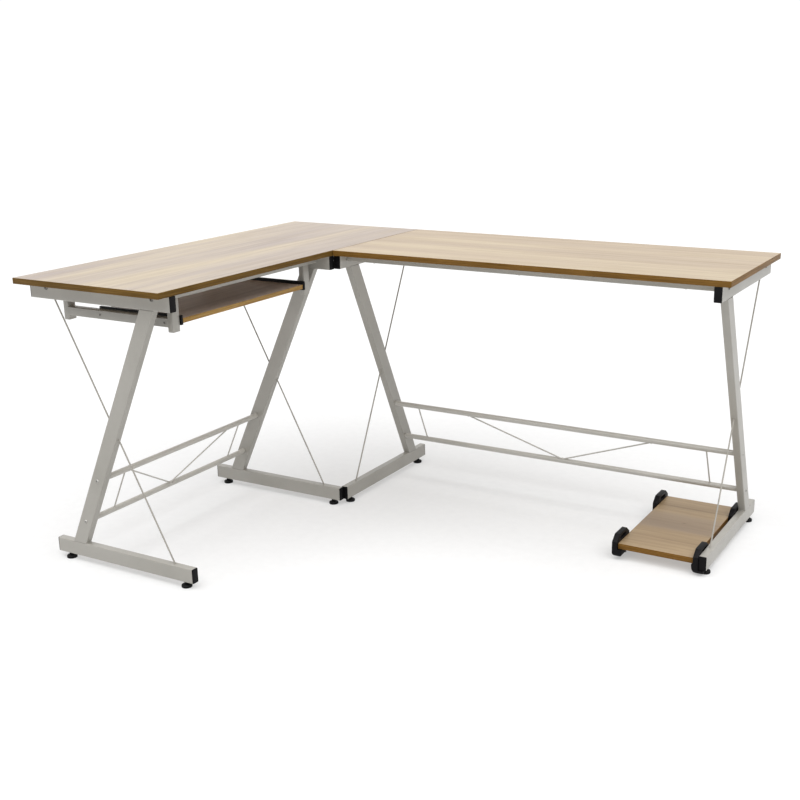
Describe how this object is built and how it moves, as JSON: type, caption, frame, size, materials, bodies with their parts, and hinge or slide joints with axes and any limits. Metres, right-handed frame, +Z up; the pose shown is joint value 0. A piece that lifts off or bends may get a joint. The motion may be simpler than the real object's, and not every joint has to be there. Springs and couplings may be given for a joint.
{
  "type": "corner desk",
  "caption": "L-shaped corner desk: two butted tops on Z-shaped tube frames with brace rods and stretchers, a sliding keyboard tray and a floor stand for a computer.",
  "frame": {"origin": "on the floor under the centre of the desk's rectangular outline", "axes": "+Z up; the left wing runs along Y, from the corner at +Y to its free end at -Y; the right wing runs along X, with the walls at -X and +Y; the user sits on the +X side of the left wing and the -Y side of the right wing"},
  "size_m": [1.585, 1.17, 0.75],
  "materials": {
    "top_laminate": "wood-look laminate on particle board, pale beige with soft grey and pinkish streaks, golden brown edge band",
    "tray_laminate": "wood-look laminate, grey brown, light brown front edge band",
    "stand_laminate": "wood-look laminate, tan with darker streaks, brown edge band",
    "frame_steel": "warm light grey powder coat, satin, fine texture",
    "black_plastic": "moulded black plastic, fine texture, satin",
    "leveller_plastic": "moulded black plastic pad on a threaded stud",
    "black_steel": "black painted steel slide, satin"
  },
  "bodies": {
    "desk": {"left_end_top_bar": "frame_steel", "left_end_leg": "frame_steel", "left_end_foot_bar": "frame_steel", "left_end_brace_rod": "frame_steel", "left_end_top_cap_outer": "black_plastic", "left_end_foot_cap_outer": "black_plastic", "left_end_top_cap_inner": "black_plastic", "left_end_foot_cap_inner": "black_plastic", "left_inner_top_bar": "frame_steel", "left_inner_leg": "frame_steel", "left_inner_foot_bar": "frame_steel", "left_inner_brace_rod": "frame_steel", "left_inner_top_cap_outer": "black_plastic", "left_inner_foot_cap_outer": "black_plastic", "left_inner_top_cap_inner": "black_plastic", "left_inner_foot_cap_inner": "black_plastic", "right_inner_top_bar": "frame_steel", "right_inner_leg": "frame_steel", "right_inner_foot_bar": "frame_steel", "right_inner_brace_rod": "frame_steel", "right_inner_top_cap_outer": "black_plastic", "right_inner_foot_cap_outer": "black_plastic", "right_inner_top_cap_inner": "black_plastic", "right_inner_foot_cap_inner": "black_plastic", "right_end_top_bar": "frame_steel", "right_end_leg": "frame_steel", "right_end_foot_bar": "frame_steel", "right_end_brace_rod": "frame_steel", "right_end_top_cap_outer": "black_plastic", "right_end_foot_cap_outer": "black_plastic", "right_end_top_cap_inner": "black_plastic", "right_end_foot_cap_inner": "black_plastic", "left_top": "top_laminate", "right_top": "top_laminate", "left_rear_rail": "frame_steel", "left_front_rail": "frame_steel", "right_rear_rail": "frame_steel", "right_front_rail": "frame_steel", "left_stretcher": "frame_steel", "right_stretcher": "frame_steel", "tray_hanger_near": "frame_steel", "tray_hanger_far": "frame_steel", "tray_rail_near": "black_steel", "tray_rail_far": "black_steel", "stand_board": "stand_laminate", "stand_guard_outer_near": "black_plastic", "stand_guard_outer_far": "black_plastic", "stand_guard_inner_near": "black_plastic", "stand_guard_inner_far": "black_plastic"},
    "tray": {"tray_board": "tray_laminate", "tray_channel_near": "black_steel", "tray_channel_far": "black_steel"},
    "left_end_leveller_outer": {"left_end_leveller_outer": "leveller_plastic"},
    "left_end_leveller_inner": {"left_end_leveller_inner": "leveller_plastic"},
    "left_inner_leveller_outer": {"left_inner_leveller_outer": "leveller_plastic"},
    "left_inner_leveller_inner": {"left_inner_leveller_inner": "leveller_plastic"},
    "right_inner_leveller_outer": {"right_inner_leveller_outer": "leveller_plastic"},
    "right_inner_leveller_inner": {"right_inner_leveller_inner": "leveller_plastic"},
    "right_end_leveller_outer": {"right_end_leveller_outer": "leveller_plastic"},
    "right_end_leveller_inner": {"right_end_leveller_inner": "leveller_plastic"}
  },
  "joints": [
    {"name": "tray_slide", "type": "slide", "parent": "desk", "child": "tray", "axis": [1, 0, 0], "range_m": [0, 0.18]},
    {"name": "left_end_leveller_outer_screw", "type": "slide", "parent": "desk", "child": "left_end_leveller_outer", "axis": [0, 0, -1], "range_m": [0, 0.01]},
    {"name": "left_end_leveller_inner_screw", "type": "slide", "parent": "desk", "child": "left_end_leveller_inner", "axis": [0, 0, -1], "range_m": [0, 0.01]},
    {"name": "left_inner_leveller_outer_screw", "type": "slide", "parent": "desk", "child": "left_inner_leveller_outer", "axis": [0, 0, -1], "range_m": [0, 0.01]},
    {"name": "left_inner_leveller_inner_screw", "type": "slide", "parent": "desk", "child": "left_inner_leveller_inner", "axis": [0, 0, -1], "range_m": [0, 0.01]},
    {"name": "right_inner_leveller_outer_screw", "type": "slide", "parent": "desk", "child": "right_inner_leveller_outer", "axis": [0, 0, -1], "range_m": [0, 0.01]},
    {"name": "right_inner_leveller_inner_screw", "type": "slide", "parent": "desk", "child": "right_inner_leveller_inner", "axis": [0, 0, -1], "range_m": [0, 0.01]},
    {"name": "right_end_leveller_outer_screw", "type": "slide", "parent": "desk", "child": "right_end_leveller_outer", "axis": [0, 0, -1], "range_m": [0, 0.01]},
    {"name": "right_end_leveller_inner_screw", "type": "slide", "parent": "desk", "child": "right_end_leveller_inner", "axis": [0, 0, -1], "range_m": [0, 0.01]}
  ]
}
